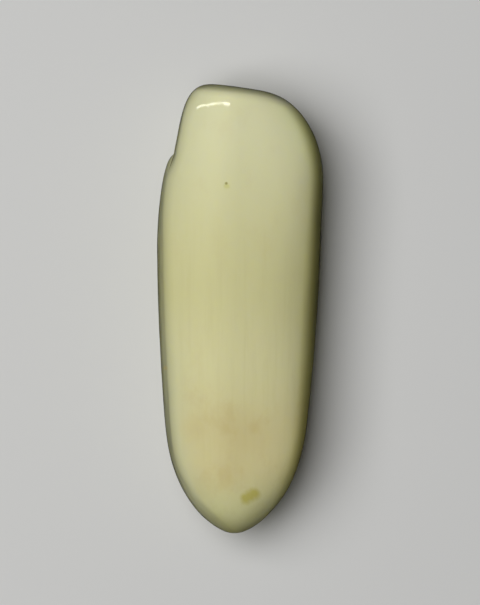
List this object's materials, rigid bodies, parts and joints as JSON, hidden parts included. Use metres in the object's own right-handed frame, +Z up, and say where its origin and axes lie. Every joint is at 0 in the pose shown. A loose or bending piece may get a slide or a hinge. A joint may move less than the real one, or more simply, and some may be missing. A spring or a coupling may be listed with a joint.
{
  "type": "walrus tooth",
  "caption": "Polished walrus cheek tooth: a blunt, flattened peg with a canted worn crown, a stepped neck on one flank and a rounded root tip, lying on its back.",
  "frame": {"origin": "middle of the footprint, on the resting flat of the back", "axes": "+Y along the tooth towards the worn crown, +Z up out of the front face, +X to the right when the crown is at the top"},
  "size_m": [0.0194, 0.052, 0.0136],
  "materials": {
    "polished_ivory": "cream walrus ivory, polished to a soft gloss, with faint lengthwise streaks and warm mottling towards the root"
  },
  "bodies": {
    "root": {"tooth": "polished_ivory"}
  },
  "joints": []
}
